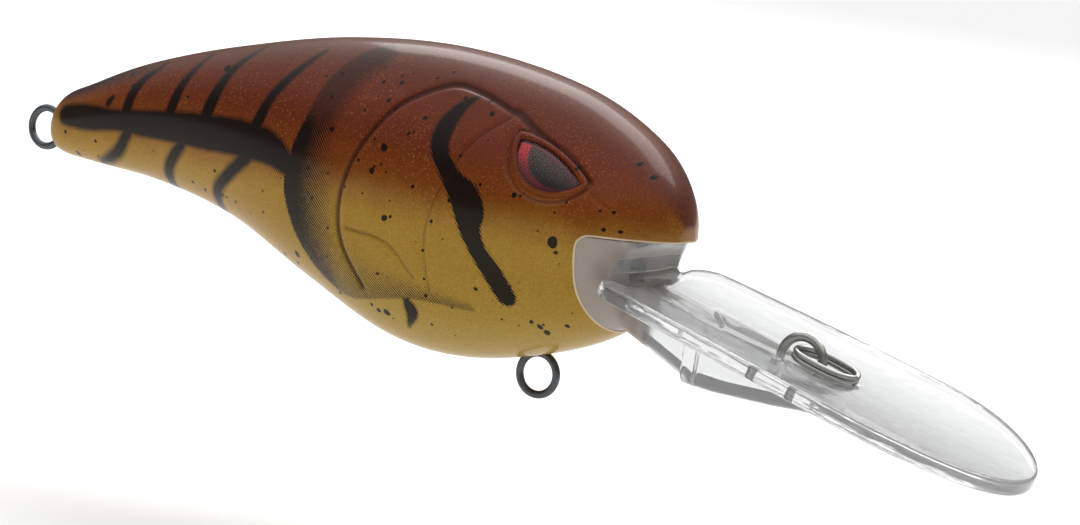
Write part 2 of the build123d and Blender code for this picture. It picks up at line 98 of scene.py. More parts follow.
# ---------------------------------------------------------------- small helpers
def new_mesh(name, points, faces, scale=MM):
    mesh = bpy.data.meshes.new(name)
    points = np.asarray(points, float) * scale
    faces = np.asarray(faces)
    mesh.vertices.add(len(points))
    mesh.vertices.foreach_set("co", points.ravel())
    size = faces.shape[1]
    mesh.loops.add(faces.size)
    mesh.loops.foreach_set("vertex_index", faces.ravel())
    mesh.polygons.add(len(faces))
    mesh.polygons.foreach_set("loop_start", np.arange(0, faces.size, size))
    mesh.update(calc_edges=True)
    mesh.validate()
    made = bpy.data.objects.new(name, mesh)
    bpy.context.scene.collection.objects.link(made)
    return made


def points_of(mesh):
    co = np.zeros(len(mesh.vertices) * 3)
    mesh.vertices.foreach_get("co", co)
    return co.reshape(-1, 3) / MM


def write_attribute(mesh, name, values):
    attribute = mesh.attributes.new(name, "FLOAT", "POINT")
    attribute.data.foreach_set("value", np.asarray(values, np.float32))


def apply_modifiers(piece):
    depsgraph = bpy.context.evaluated_depsgraph_get()
    done = bpy.data.meshes.new_from_object(piece.evaluated_get(depsgraph))
    piece.modifiers.clear()
    piece.data = done


def boolean(piece, tool, operation):
    """Cuts or joins with another closed mesh, which is then removed."""
    cut = piece.modifiers.new("cut", "BOOLEAN")
    cut.operation, cut.object, cut.solver = operation, tool, "MANIFOLD"
    apply_modifiers(piece)
    bpy.data.objects.remove(tool)


def smooth_by_angle(piece, degrees):
    mesh = piece.data
    mesh.polygons.foreach_set("use_smooth", [True] * len(mesh.polygons))
    shaped = bmesh.new()
    shaped.from_mesh(mesh)
    limit = math.radians(degrees)
    for edge in shaped.edges:
        edge.smooth = len(edge.link_faces) == 2 and edge.calc_face_angle(0) < limit
    shaped.to_mesh(mesh)
    shaped.free()


def smoothstep(low, high, value):
    t = np.clip((value - low) / (high - low), 0, 1)
    return t * t * (3 - 2 * t)


def curve_through(points, count=24):
    """Smooth path through a few points, as an array; each point may carry a third value."""
    p = np.array(points, float)
    if len(p) == 2:
        t = np.linspace(0, 1, count)[:, None]
        return p[0] * (1 - t) + p[1] * t
    ends = np.vstack([2 * p[0] - p[1], p, 2 * p[-1] - p[-2]])
    path = []
    for i in range(len(p) - 1):
        a, b, c, d = ends[i:i + 4]
        t = np.linspace(0, 1, count, endpoint=False)[:, None]
        path.append(0.5 * (2 * b + (c - a) * t + (2 * a - 5 * b + 4 * c - d) * t ** 2
                           + (3 * b - a - 3 * c + d) * t ** 3))
    return np.vstack(path + [p[-1:]])


def stroke_distance(x, z, points):
    """Distance in the side view to a stroke (x, z, half width): negative inside it."""
    path = curve_through(points)
    nearest = np.full(x.shape, 1e9)
    for (x0, z0, w0), (x1, z1, w1) in zip(path[:-1], path[1:]):
        dx, dz = x1 - x0, z1 - z0
        t = np.clip(((x - x0) * dx + (z - z0) * dz) / max(dx * dx + dz * dz, 1e-9), 0, 1)
        nearest = np.minimum(nearest, np.hypot(x - x0 - t * dx, z - z0 - t * dz) - (w0 + t * (w1 - w0)))
    return nearest


def inside_outline(x, z, path):
    inside = np.zeros(x.shape, bool)
    for (x0, z0), (x1, z1) in zip(path, np.roll(path, -1, axis=0)):
        crosses = (z0 > z) != (z1 > z)
        run = (x1 - x0) / (z1 - z0 + 1e-12)
        inside ^= crosses & (x < x0 + (z - z0) * run)
    return inside


def region_distance(x, z, path):
    """Signed distance to a closed outline in the side view: negative inside it."""
    closed = np.column_stack([np.vstack([path, path[:1]]), np.zeros(len(path) + 1)])
    nearest = np.full(x.shape, 1e9)
    for (x0, z0, _), (x1, z1, _) in zip(closed[:-1], closed[1:]):
        dx, dz = x1 - x0, z1 - z0
        t = np.clip(((x - x0) * dx + (z - z0) * dz) / max(dx * dx + dz * dz, 1e-9), 0, 1)
        nearest = np.minimum(nearest, np.hypot(x - x0 - t * dx, z - z0 - t * dz))
    return np.where(inside_outline(x, z, path), -nearest, nearest)


def arc_centre(bulge):
    """Height of the centre, and radius, of the eye's arc that bulges up or down between its corners."""
    radius = ((EYE_LENGTH / 2) ** 2 + bulge ** 2) / (2 * abs(bulge))
    return bulge - math.copysign(radius, bulge), radius


def eye_frame(x, z):
    """Side-view place in the eye's own frame: along its chord, and above it."""
    along, up = math.cos(EYE_TILT), math.sin(EYE_TILT)
    return (x - EYE_X) * along - (z - EYE_Z) * up, (x - EYE_X) * up + (z - EYE_Z) * along


def eye_distance(x, z):
    """Distance to the eye's half-moon outline, negative inside."""
    u, v = eye_frame(x, z)
    (top, top_radius), (low, low_radius) = arc_centre(EYE_RISE), arc_centre(-EYE_DROP)
    return np.maximum(np.hypot(u, v - top) - top_radius, np.hypot(u, v - low) - low_radius)


# ---------------------------------------------------------------- moulded lines of the head
# Side-view points in mm, the same on both flanks.
GILL_COVER = [(-1.6, 19.3), (-3.1, 19.8), (-5.0, 20.3), (-7.2, 20.5), (-9.2, 19.6), (-11.0, 18.2),
              (-12.4, 16.1), (-13.5, 13.7), (-14.1, 10.6), (-13.8, 7.7), (-12.1, 4.6)]
CHEEK = [(-1.6, 19.1), (-2.5, 18.2), (-3.3, 17.4), (-4.1, 16.2), (-4.8, 14.6), (-5.7, 12.1), (-6.1, 9.9),
         (-6.0, 7.5), (-5.7, 5.5)]
PECTORAL = [(-13.3, 8.9), (-9.5, 8.5), (-7.1, 6.3)]
BROW = [(-1.6, 19.4), (-1.0, 19.2), (0.4, 18.4), (1.7, 17.8), (3.0, 17.1), (4.2, 16.4), (5.4, 15.5)]
NOSTRIL_CREASE = [(5.7, 14.8), (7.0, 13.9), (8.2, 13.1), (9.5, 12.3)]


def groove_depth(x, z):
    """Depth of the moulded lines below the smooth flank, in mm."""
    depth = np.zeros(x.shape)
    for points, width, deep in ((GILL_COVER, 0.22, 0.20), (CHEEK, 0.17, 0.10), (PECTORAL, 0.18, 0.11),
                                (BROW, 0.30, 0.20), (NOSTRIL_CREASE, 0.16, 0.03)):
        away = stroke_distance(x, z, [(a, b, 0.0) for a, b in points])
        depth = np.maximum(depth, deep * np.exp(-(away / width) ** 2))
    around_eye = 0.12 * np.exp(-((eye_distance(x, z) - 0.50) / 0.13) ** 2)
    return np.maximum(depth, around_eye)


# ---------------------------------------------------------------- painted halves
AROUND, ALONG = 460, 420
SKIN_INSET = 0.03         # the visible skin lies this far inside the CAD surface


def body_mesh():
    """Closed mesh of the whole painted body, with the moulded lines pressed in."""
    angles = np.linspace(0.035, math.pi - 0.035, ALONG)
    x = NOSE_X - BODY_LENGTH * (1 - np.cos(angles)) / 2
    middle, half_height, half_width = section_at(x)
    turn = np.arange(AROUND) * 2 * math.pi / AROUND
    grid_x = np.repeat(x[:, None], AROUND, 1)
    y = (half_width - SKIN_INSET)[:, None] * np.cos(turn)
    z = middle[:, None] + (half_height - SKIN_INSET)[:, None] * np.sin(turn)
    depth = groove_depth(grid_x.ravel(), z.ravel()).reshape(z.shape)
    normal_y = np.cos(turn) / half_width[:, None]
    normal_z = np.sin(turn) / half_height[:, None]
    length = np.hypot(normal_y, normal_z)
    facing = np.clip(np.abs(normal_y / length) * 1.6, 0, 1)
    y, z = y - depth * facing * normal_y / length, z - depth * facing * normal_z / length
    points = np.stack([grid_x, y, z], -1).reshape(-1, 3)
    i, j = np.meshgrid(np.arange(ALONG - 1), np.arange(AROUND), indexing="ij")
    k = (j + 1) % AROUND
    quads = np.stack([i * AROUND + j, (i + 1) * AROUND + j, (i + 1) * AROUND + k, i * AROUND + k], -1)
    made = new_mesh("body_skin", points, quads.reshape(-1, 4))
    shaped = bmesh.new()
    shaped.from_mesh(made.data)
    bmesh.ops.holes_fill(shaped, edges=[e for e in shaped.edges if e.is_boundary], sides=0)
    bmesh.ops.triangulate(shaped, faces=[f for f in shaped.faces if len(f.verts) > 4])
    bmesh.ops.recalc_face_normals(shaped, faces=shaped.faces[:])
    shaped.to_mesh(made.data)
    shaped.free()
    return made


# Dark marks of the flank, as side-view strokes (x, z, half width) in mm, and how soft their edge is printed.
STROKES = [
    (0.5, [(-44.5, 12.2, 0.75), (-42, 12.4, 0.95), (-38.8, 12.7, 0.75), (-35.7, 12.95, 0.95),
           (-32.7, 13.2, 1.1), (-29.7, 13.4, 1.25), (-26.2, 13.6, 1.3), (-23.3, 13.6, 1.3),
           (-21.2, 13.3, 1.1), (-19.0, 12.2, 0.6)]),
    (0.3, [(-39.8, 13.9, 0.25), (-39.5, 14.4, 0.15)]),
    (0.3, [(-37.6, 13.0, 0.5), (-37.4, 15.0, 0.42), (-36.7, 16.4, 0.3), (-35.6, 17.6, 0.12)]),
    (0.3, [(-32.8, 13.6, 0.5), (-32.4, 16.0, 0.4), (-31.9, 17.5, 0.3), (-31.2, 19.0, 0.12)]),
    (0.3, [(-28.9, 14.0, 0.55), (-28.3, 16.6, 0.5), (-27.7, 18.4, 0.35), (-26.4, 20.3, 0.12)]),
    (0.3, [(-23.4, 14.5, 0.5), (-22.7, 16.9, 0.42), (-21.8, 18.5, 0.38), (-20.0, 21.0, 0.14)]),
    (0.5, [(-37.2, 12.0, 0.42), (-38.3, 10.5, 0.4), (-39.8, 9.5, 0.3), (-41.2, 8.9, 0.15)]),
    (0.5, [(-31.2, 12.0, 0.42), (-32.6, 10.4, 0.4), (-33.3, 9.3, 0.4), (-33.6, 8.2, 0.4)]),
    (0.5, [(-23.9, 12.3, 0.48), (-25.7, 10.8, 0.42), (-27.5, 9.2, 0.4), (-28.2, 7.6, 0.4)]),
    (0.22, [(-4.9, 20.0, 0.1), (-5.8, 18.9, 0.5), (-6.3, 17.5, 0.75), (-6.2, 16.2, 0.7),
            (-5.5, 15.1, 0.6), (-4.3, 13.9, 0.75), (-3.2, 13.0, 1.1), (-2.6, 12.0, 1.15),
            (-2.4, 10.9, 0.8), (-1.6, 9.4, 0.62), (-0.4, 7.9, 0.72), (0.5, 6.4, 0.7)]),
    (0.3, [(-8.1, 4.6, 0.05), (-7.7, 3.8, 0.5), (-7.9, 3.1, 0.3), (-8.5, 2.2, 0.02)]),
]
# Scattered specks of paint (x, z, radius).
SPECKS = [(-10.8, 15.3, 0.3), (-10.7, 14.1, 0.12), (-9.7, 10.3, 0.26), (-5.6, 10.8, 0.16),
          (4.0, 11.0, 0.4), (4.3, 10.3, 0.15), (2.0, 4.7, 0.16), (2.5, 4.4, 0.2), (2.8, 4.0, 0.22),
          (4.4, 4.8, 0.16), (-3.2, 19.0, 0.2), (-11.8, 18.6, 0.18), (-11.8, 20.4, 0.12),
          (-8.9, 20.7, 0.13), (-11.0, 3.0, 0.2), (-10.2, 3.0, 0.28), (-9.1, 16.6, 0.14),
          (-15.4, 12.6, 0.14), (7.6, 17.1, 0.14), (7.5, 13.7, 0.12), (0.6, 13.8, 0.2),
          (-1.8, 6.5, 0.16), (0.9, 7.2, 0.12), (-8.7, 16.8, 0.1), (-13.7, 12.7, 0.12),
          (-23.4, 16.0, 0.12), (-43.6, 9.2, 0.2), (-41.2, 9.4, 0.1), (-35.6, 8.5, 0.14),
          (-30.5, 9.2, 0.15), (-27.1, 8.8, 0.17), (-26.6, 8.7, 0.13), (-37.7, 15.6, 0.2),
          (-28.4, 18.4, 0.3), (-15.9, 15.8, 0.22), (-11.4, 13.5, 0.24), (-8.2, 17.9, 0.18),
          (-19.1, 5.7, 0.26), (-19.6, 4.9, 0.16), (-10.3, 6.0, 0.16), (-34.4, 11.0, 0.1),
          (-28.9, 16.3, 0.12), (-7.6, 13.0, 0.16), (-6.8, 9.1, 0.1), (3.8, 13.1, 0.1),
          (-16.9, 6.4, 0.16)]
MOUTH_EDGE = [(11.5, 11.8), (8.6, 11.8), (6.5, 11.8), (5.86, 11.54), (5.6, 10.9), (5.6, 9.0), (5.68, 7.6),
              (5.95, 6.4), (6.45, 4.95), (7.3, 3.4)]
CRESCENT_EDGE = [(-14.9, 22.4), (-16.4, 21.5), (-17.6, 19.9), (-18.3, 18.0), (-18.7, 16.0), (-19.2, 14.2),
                 (-19.5, 12.6), (-19.7, 11.0), (-19.3, 9.1), (-18.6, 7.3), (-17.5, 5.6), (-15.8, 4.1),
                 (-13.7, 3.4), (-10.6, 4.0), (-7.5, 4.6), (-4.7, 4.7), (-2.1, 4.7)]
CRESCENT_INNER = [(-2.4, 5.6), (-4.5, 6.2), (-7.2, 6.8), (-10.1, 7.7), (-12.4, 9.2), (-13.2, 11.4),
                  (-14.1, 13.6), (-14.9, 15.7), (-14.7, 17.7), (-13.8, 20.0), (-12.9, 21.6)]

FADE_HEIGHT = 12.2                          # where the belly's colour gives way to the back's
PAINTED_DEPTH = 0.55                        # how far under the surface the paint reaches
PAINTED_TAIL, PAINTED_NOSE = -46.4, 10.0    # beyond these the whole end is painted
SCREEN_PITCH = 0.19                         # between the printed dots that ink the marks' edges


def ink_density(x, z):
    """Density of the black print at points of the side view: 1 and over is solid, 0 is none."""
    ink = np.zeros(x.shape)
    for soft, stroke in STROKES:
        reach = max(p[2] for p in stroke) + 2 * soft + 1
        near = ((x > min(p[0] for p in stroke) - reach) & (x < max(p[0] for p in stroke) + reach)
                & (z > min(p[1] for p in stroke) - reach) & (z < max(p[1] for p in stroke) + reach))
        away = stroke_distance(x[near], z[near], stroke)
        ink[near] = np.maximum(ink[near], np.clip(0.75 - away / soft, 0, 1.4))
    edge, inner = curve_through(CRESCENT_EDGE, 8), curve_through(CRESCENT_INNER, 8)
    outline = np.vstack([edge, inner])
    inside = region_distance(x, z, outline)
    from_edge = stroke_distance(x, z, [(a, b, 0.0) for a, b in CRESCENT_EDGE])
    from_inner = stroke_distance(x, z, [(a, b, 0.0) for a, b in CRESCENT_INNER])
    across = from_inner / (from_edge + from_inner + 1e-6)
    fade = np.clip(1.25 * across ** 1.2, 0, 1.1) * (0.62 + 0.38 * smoothstep(-14.0, -16.0, x))
    fade *= 0.80 + 0.25 * smoothstep(5, 11, z)
    high = smoothstep(14.5, 17.5, z)
    fade = fade * (1 - high) + high * 0.8 * np.clip(2.2 * across, 0, 1)
    print_here = np.clip(0.5 - inside / 0.2, 0, 1) * fade
    return np.maximum(ink, print_here)


def speck_distance(x, z):
    nearest = np.ones(x.shape)
    for speck_x, speck_z, radius in SPECKS:
        angle = np.arctan2(z - speck_z, x - speck_x)
        wobble = 1 + 0.10 * np.sin(2 * angle + 9 * speck_x) + 0.05 * np.sin(3 * angle + 5 * speck_z)
        nearest = np.minimum(nearest, np.hypot(x - speck_x, z - speck_z) - radius * wobble)
    return nearest


def paint_attributes(piece):
    co = points_of(piece.data)
    x, y, z = co.T
    middle, half_height, half_width = section_at(x)
    write_attribute(piece.data, "ink", ink_density(x, z))
    write_attribute(piece.data, "speck", speck_distance(x, z))
    write_attribute(piece.data, "mouth", stroke_distance(x, z, [(a, b, 0.0) for a, b in MOUTH_EDGE]))
    write_attribute(piece.data, "groove", groove_depth(x, z))
    top = middle + half_height
    write_attribute(piece.data, "rise", z - FADE_HEIGHT)
    write_attribute(piece.data, "below_back", (top - z) / half_height)
    share = np.sqrt((y / np.maximum(half_width, 0.1)) ** 2
                    + ((z - middle) / np.maximum(half_height, 0.1)) ** 2)
    outer = ((1 - share) * half_width < PAINTED_DEPTH) | (x < PAINTED_TAIL) | (x > PAINTED_NOSE)
    write_attribute(piece.data, "outside", outer.astype(float))


# ---------------------------------------------------------------- node graphs
class Graph:
    """Short way to write a material's nodes."""

    def __init__(self, name):
        self.material = bpy.data.materials.new(name)
        self.material.use_nodes = True
        self.tree = self.material.node_tree
        self.shader = self.tree.nodes["Principled BSDF"]

    def node(self, kind, inputs=(), **settings):
        made = self.tree.nodes.new(kind)
        for key, value in settings.items():
            setattr(made, key, value)
        for key, value in dict(inputs).items():
            self.put(made.inputs[key], value)
        return made

    def put(self, socket, value):
        if isinstance(value, bpy.types.NodeSocket):
            self.tree.links.new(value, socket)
        else:
            socket.default_value = value

    def math(self, operation, *values, clamp=False):
        made = self.node("ShaderNodeMath", operation=operation, use_clamp=clamp)
        for socket, value in zip(made.inputs, values):
            self.put(socket, value)
        return made.outputs[0]

    def mix(self, share, first, second, blend="MIX"):
        made = self.node("ShaderNodeMix", data_type="RGBA", blend_type=blend)
        for socket, value in zip((made.inputs[0], made.inputs[6], made.inputs[7]), (share, first, second)):
            self.put(socket, value)
        return made.outputs[2]

    def ramp(self, value, low, high, out_low=0.0, out_high=1.0):
        made = self.node("ShaderNodeMapRange", interpolation_type="SMOOTHSTEP")
        for socket, item in zip(made.inputs, (value, low, high, out_low, out_high)):
            self.put(socket, item)
        return made.outputs[0]

    def attribute(self, name):
        return self.node("ShaderNodeAttribute", attribute_name=name).outputs["Fac"]

    def place(self):
        """Position on the object in mm."""
        at = self.node("ShaderNodeTexCoord").outputs["Object"]
        return self.node("ShaderNodeVectorMath", {0: at, 1: (1000, 1000, 1000)},
                         operation="MULTIPLY").outputs[0]

    def noise(self, scale, detail=3.0, roughness=0.55):
        return self.node("ShaderNodeTexNoise", {"Vector": self.place(), "Scale": scale, "Detail": detail,
                                                "Roughness": roughness}).outputs["Fac"]

    def bump(self, height, distance, strength=1.0):
        return self.node("ShaderNodeBump", {"Height": height, "Distance": distance,
                                            "Strength": strength}).outputs["Normal"]

    def set(self, **values):
        for key, value in values.items():
            self.put(self.shader.inputs[key.replace("_", " ")], value)
        return self.material


def rgb(red, green, blue):
    """Colour as seen on screen, 0 to 255, made linear."""
    def linear(c):
        c /= 255
        return c / 12.92 if c <= 0.04045 else ((c + 0.055) / 1.055) ** 2.4
    return (linear(red), linear(green), linear(blue), 1.0)


def painted_material():
    """Red-brown back over olive gold, metallic flake, black printed marks under clear lacquer, with painted
    shade on the top of the back and tail and in the moulded grooves, and a painted highlight along the
    mouth's edge.
    """
    g = Graph("lure_paint")
    rise = g.math("ADD", g.attribute("rise"), g.math("MULTIPLY", g.math("SUBTRACT", g.noise(0.35), 0.5), 1.6))
    belly = g.mix(g.ramp(g.attribute("rise"), -11.5, -3.0), rgb(162, 134, 58), rgb(150, 116, 38))
    flank = g.mix(g.ramp(rise, -2.6, 1.8), belly, rgb(112, 57, 12))
    back = g.mix(g.ramp(rise, 0.2, 5.0), flank, rgb(94, 36, 12))
    # Painted shade: darker towards the top of the back, offsetting the overhead light, and darker again along
    # the top of the tail.
    crown = g.mix(g.ramp(g.attribute("below_back"), 0.42, 0.05), back, rgb(78, 34, 18))
    tail = g.node("ShaderNodeSeparateXYZ", {0: g.place()}).outputs[0]
    crown = g.mix(g.math("MULTIPLY", g.ramp(tail, -33.0, -44.0),
                         g.ramp(g.attribute("below_back"), 0.5, 0.1)),
                  crown, rgb(30, 12, 8))
    cells = g.node("ShaderNodeTexVoronoi", {"Vector": g.place(), "Scale": 11.0, "Randomness": 1.0})
    grain = g.node("ShaderNodeSeparateColor", {0: cells.outputs["Color"]}).outputs[0]
    coarse = g.node("ShaderNodeTexVoronoi", {"Vector": g.place(), "Scale": 6.5, "Randomness": 1.0})
    big = g.node("ShaderNodeSeparateColor", {0: coarse.outputs["Color"]}).outputs[1]
    flake = g.math("MAXIMUM", g.ramp(grain, 0.86, 1.0),
                   g.math("MULTIPLY", g.ramp(big, 0.955, 0.98),
                          g.ramp(coarse.outputs["Distance"], 0.45, 0.2)))
    flake = g.math("MULTIPLY", flake, g.ramp(g.noise(0.22, 1.0), 0.38, 0.66, 0.25, 1.0))
    shimmer = g.math("ADD", 0.84, g.math("MULTIPLY", grain, 0.32))
    grainy = g.mix(1.0, crown,
                   g.node("ShaderNodeCombineColor", {0: shimmer, 1: shimmer, 2: shimmer}).outputs[0],
                   "MULTIPLY")
    flaked = g.mix(g.math("MULTIPLY", flake, 0.2), grainy, rgb(206, 140, 72))
    split = g.node("ShaderNodeSeparateXYZ", {0: g.place()})
    pitch = 2 * math.pi / SCREEN_PITCH
    along = g.math("MULTIPLY", g.math("ADD", split.outputs[0], split.outputs[2]), pitch * 0.7071)
    across = g.math("MULTIPLY", g.math("SUBTRACT", split.outputs[0], split.outputs[2]), pitch * 0.7071)
    screen = g.math("ADD", 0.5, g.math("MULTIPLY", 0.34, g.math("SINE", along)))
    screen = g.math("ADD", screen, g.math("MULTIPLY", 0.12, g.math("SINE", across)))
    ragged = g.math("MULTIPLY", g.math("SUBTRACT", g.noise(2.4), 0.5), 0.4)
    density = g.math("ADD", g.attribute("ink"),
                     g.math("MULTIPLY", ragged, g.ramp(g.attribute("ink"), 0.02, 0.3)))
    inked = g.ramp(g.math("SUBTRACT", density, screen), -0.10, 0.10)
    flat = g.node("ShaderNodeCombineXYZ", {0: split.outputs[0], 1: split.outputs[2]}).outputs[0]
    drops = g.node("ShaderNodeTexVoronoi", {"Vector": flat, "Scale": 0.55, "Randomness": 1.0},
                   voronoi_dimensions="2D")
    chosen = g.node("ShaderNodeSeparateColor", {0: drops.outputs["Color"]}).outputs
    reach = g.math("SUBTRACT", drops.outputs["Distance"], g.math("MULTIPLY", chosen[1], 0.085))
    drop = g.math("MULTIPLY", g.ramp(reach, 0.016, 0.0), g.math("GREATER_THAN", chosen[0], 0.42))
    on_flank = g.math("MULTIPLY", g.ramp(g.attribute("below_back"), 0.08, 0.14),
                      g.ramp(g.attribute("below_back"), 1.92, 1.86))
    on_flank = g.math("MULTIPLY", on_flank, g.ramp(split.outputs[0], 9.4, 9.0))
    drop = g.math("MULTIPLY", drop, on_flank)
    high = g.ramp(split.outputs[2], 15.5, 17.5)
    veil = g.math("MULTIPLY", density, 0.8, clamp=True)
    inked = g.math("ADD", g.math("MULTIPLY", inked, g.math("SUBTRACT", 1.0, high)),
                   g.math("MULTIPLY", veil, high))
    inked = g.math("MAXIMUM", inked, g.math("MAXIMUM", g.ramp(g.attribute("speck"), 0.04, -0.03), drop))
    dark = g.mix(g.math("MULTIPLY", inked, 0.97), flaked, rgb(6, 3, 2))
    # Painted shade: darker along the moulded grooves, by their depth.
    groove_shaded = g.mix(g.ramp(g.attribute("groove"), 0.03, 0.16, 0.0, 0.72), dark, rgb(44, 14, 7))
    # Painted highlight: a thin light line along the mouth's paint edge.
    mouth_highlit = g.mix(g.ramp(g.attribute("mouth"), 0.16, 0.05, 0.0, 0.75), groove_shaded, rgb(214, 196, 168))
    coloured = g.mix(g.attribute("outside"), rgb(150, 140, 135), mouth_highlit)
    bumps = g.math("ADD", g.math("MULTIPLY", grain, 0.5), g.noise(1.2))
    metal = g.math("MULTIPLY", g.math("SUBTRACT", 1.0, inked), 0.22)
    return g.set(Base_Color=coloured, Metallic=metal,
                 Roughness=g.math("ADD", 0.42, g.math("MULTIPLY", grain, 0.14)),
                 Normal=g.bump(bumps, 0.00001, 0.4), Coat_Weight=0.4, Coat_Roughness=0.12, Coat_IOR=1.3,
                 Specular_IOR_Level=0.06)


def painted_halves():
    paint = painted_material()
    for side, sign in (("left", 1), ("right", -1)):
        shell = nodes["shell_" + side]
        piece = bpy.data.objects.new("painted_half_" + side, shell.data.copy())
        bpy.context.scene.collection.objects.link(piece)
        piece.data.materials.clear()
        weld = piece.modifiers.new("weld", "WELD")
        weld.merge_threshold = 0.000001
        apply_modifiers(piece)
        boolean(piece, body_mesh(), "INTERSECT")
        paint_attributes(piece)
        smooth_by_angle(piece, 30)
        piece.data.materials.clear()
        piece.data.materials.append(paint)
        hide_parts("shell_" + side)
        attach(piece, "body")


painted_halves()


# ---------------------------------------------------------------- smooth solids from distance fields
def smooth_union(first, second, blend):
    h = np.clip(0.5 + 0.5 * (second - first) / blend, 0, 1)
    return second * (1 - h) + first * h - blend * h * (1 - h)


def smooth_cut(first, second, blend):
    return -smooth_union(-first, -second, blend)


def rounded(across, along, radius):
    """Prism with rounded edges, from the distances to its outline and to its faces."""
    a, b = across + radius, along + radius
    return np.minimum(np.maximum(a, b), 0) + np.hypot(np.maximum(a, 0), np.maximum(b, 0)) - radius


def surface_nets(field, low, high, step):
    """Closed quad mesh of the zero level of a field(points), drawn onto that level."""
    axes = [np.arange(l, h + step, step) for l, h in zip(low, high)]
    count = [len(a) for a in axes]
    grid = np.stack(np.meshgrid(*axes, indexing="ij"), -1)
    value = field(grid.reshape(-1, 3)).reshape(count)
    total, hits = np.zeros([c - 1 for c in count] + [3]), np.zeros([c - 1 for c in count])
    for axis in range(3):
        others = [a for a in range(3) if a != axis]
        for shift in ((0, 0), (0, 1), (1, 0), (1, 1)):
            first = [slice(None)] * 3
            first[axis] = slice(0, -1)
            for a, k in zip(others, shift):
                first[a] = slice(k, count[a] - 1 + k)
            second = list(first)
            second[axis] = slice(1, None)
            v0, v1 = value[tuple(first)], value[tuple(second)]
            crosses = (v0 < 0) != (v1 < 0)
            t = np.where(crosses, v0 / np.where(crosses, v0 - v1, 1), 0)
            place = grid[tuple(first)].copy()
            place[..., axis] += t * step
            total += np.where(crosses[..., None], place, 0)
            hits += crosses
    used = hits > 0
    number = np.full(used.shape, -1)
    number[used] = np.arange(used.sum())
    points = total[used] / hits[used][:, None]
    quads = []
    for axis in range(3):
        b, c = [a for a in range(3) if a != axis]
        first, second = [slice(1, -1)] * 3, [slice(1, -1)] * 3
        first[axis], second[axis] = slice(0, -1), slice(1, None)
        inside, beyond = value[tuple(first)] < 0, value[tuple(second)] < 0
        at = np.argwhere(inside != beyond)
        turned = inside[tuple(at.T)] == (axis != 1)
        at[:, b] += 1
        at[:, c] += 1
        corner = []
        for db, dc in ((1, 1), (0, 1), (0, 0), (1, 0)):
            cell = at.copy()
            cell[:, b] -= db
            cell[:, c] -= dc
            corner.append(number[tuple(cell.T)])
        face = np.stack(corner, -1)
        face[~turned] = face[~turned][:, ::-1]
        quads.append(face)
    for _ in range(4):
        here = field(points)
        slope = np.stack([(field(points + e) - field(points - e)) / 0.02 for e in 0.01 * np.eye(3)], -1)
        points = points - (here / np.maximum((slope ** 2).sum(-1), 0.2))[:, None] * slope
    return points, np.vstack(quads)


# ---------------------------------------------------------------- clear bill with its throat, keel and boss
def from_bill(points):
    """World millimetres from (along the bill, across, above its face)."""
    s, y, n = points.T
    return np.stack([BILL_ROOT[0] + s * math.cos(BILL_SLOPE) + n * math.sin(BILL_SLOPE), y,
                     BILL_ROOT[1] - s * math.sin(BILL_SLOPE) + n * math.cos(BILL_SLOPE)], -1)


def bar_under(x, y, z, x_low, x_high, heights, half_width, radius):
    """Bar that hangs under the bill from a bottom line (x, z) up to the plate, with a rounded bottom."""
    bottom = np.interp(x, [h[0] for h in heights], [h[1] for h in heights])
    under = BILL_ROOT[1] - (x - BILL_ROOT[0]) * math.tan(BILL_SLOPE) - BILL_THICKNESS / 2
    profile = rounded(np.abs(y) - half_width, np.maximum(bottom - z, z - under), radius)
    return rounded(profile, np.maximum(x_low - x, x - x_high), 0.12)


def bill_field(points):
    s, y, n = points.T
    x, _, z = from_bill(points).T
    wide, narrow, half, corner = BILL_LENGTH - BILL_TIP, 8.6, 9.9, 2.2
    share = np.clip(s / wide, 0, 1)
    side = narrow + (half - narrow) * share * (1 + 0.88 * (1 - share))
    beside = rounded(np.abs(y) - side, -s, corner)
    q = np.hypot((s - wide) / BILL_TIP, y / half)
    gradient = np.hypot((s - wide) / BILL_TIP ** 2, y / half ** 2) / np.maximum(q, 0.05)
    outline = np.where(s > wide, (q - 1) / np.maximum(gradient, 0.02), beside)
    dish = y * y / (2 * BILL_CUP)
    plate = rounded(outline, np.abs(n - dish + BILL_THICKNESS / 2) - BILL_THICKNESS / 2, 0.3)
    middle, half_height, half_width = section_at(np.clip(x, -20, NOSE_X - 0.02))
    body = (np.hypot(y / np.maximum(half_width, 0.3), (z - middle) / np.maximum(half_height, 0.3)) - 1)
    body = body * np.minimum(half_width, half_height) + 0.05
    body = np.where(x > NOSE_X - 0.1, 1.0, body)
    cove = 7.9 + 1.2 * np.clip((z - 9.2) / 2.6, 0, 1) ** 2.4 - 1.1 * np.clip((8.0 - z) / 4.6, 0, 1) ** 1.6
    cove = cove + 0.10 * smoothstep(2.5, 8, np.abs(y))
    behind = np.maximum(x - cove, 4.9 - x)
    throat = smooth_cut(body, behind, 1.1)
    throat = np.maximum(throat, np.maximum(z - (LIP_Z - 0.04), 3.2 - z))
    rib = bar_under(x, y, z, 6.9, 12.6, [(6.9, 5.2), (7.3, 4.5), (12.6, 2.05)], 1.2, 1.0)
    boss = bar_under(x, y, z, 12.6, 24.8,
                     [(12.6, 2.05), (15.1, 1.85), (19.9, 1.85), (22.9, 2.0), (24.8, 3.6)], 2.2, 0.9)
    tongue = np.maximum(np.maximum(np.abs(y) - 1.2, np.abs(z - 8.5) - 2.5), np.maximum(2.0 - x, x - 6.1))
    tongue = np.maximum(tongue, 0.85 - np.hypot(x - 3.5, z - 8.5))
    solid = smooth_union(plate, throat, 0.7)
    solid = smooth_union(solid, rib, 0.9)
    solid = smooth_union(solid, boss, 0.5)
    return np.minimum(solid, tongue)


